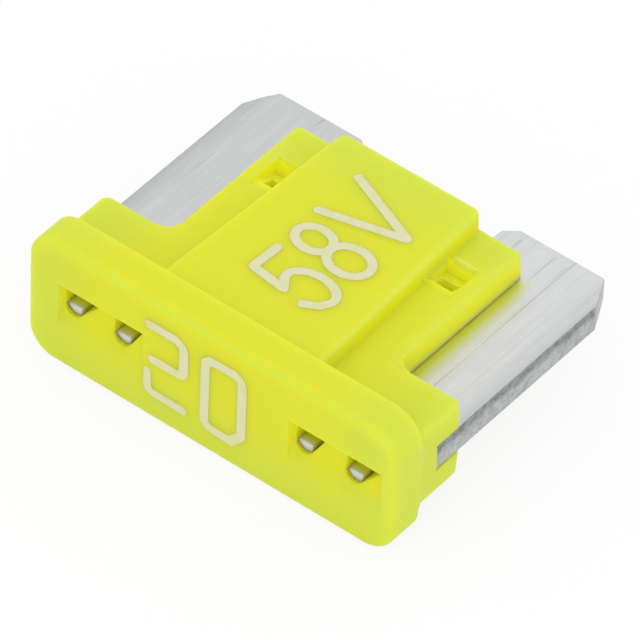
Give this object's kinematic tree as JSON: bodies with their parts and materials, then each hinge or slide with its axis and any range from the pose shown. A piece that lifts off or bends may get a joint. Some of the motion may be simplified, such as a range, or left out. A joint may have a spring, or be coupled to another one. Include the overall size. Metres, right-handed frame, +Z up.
{
  "type": "automotive blade fuse",
  "caption": "Low-profile mini blade fuse with a translucent yellow moulded housing, two flat metal blades and probe windows in its head.",
  "frame": {"origin": "Centre of the overall box in X and Y, on the plane that the lower face of the head rests on.", "axes": "+X runs across both blades, towards the right blade when the head's face is seen from the front; +Y runs from the head's face to the blade tips; +Z runs up through the fuse's thickness."},
  "size_m": [0.011, 0.0088, 0.0038],
  "materials": {
    "yellow_plastic": "semi-matte translucent moulded polymer",
    "zinc_metal": "tin-plated zinc, rolled and stamped, with fine scratches along the blades"
  },
  "bodies": {
    "root": {"housing": "yellow_plastic", "fuse_element": "zinc_metal"}
  },
  "joints": []
}
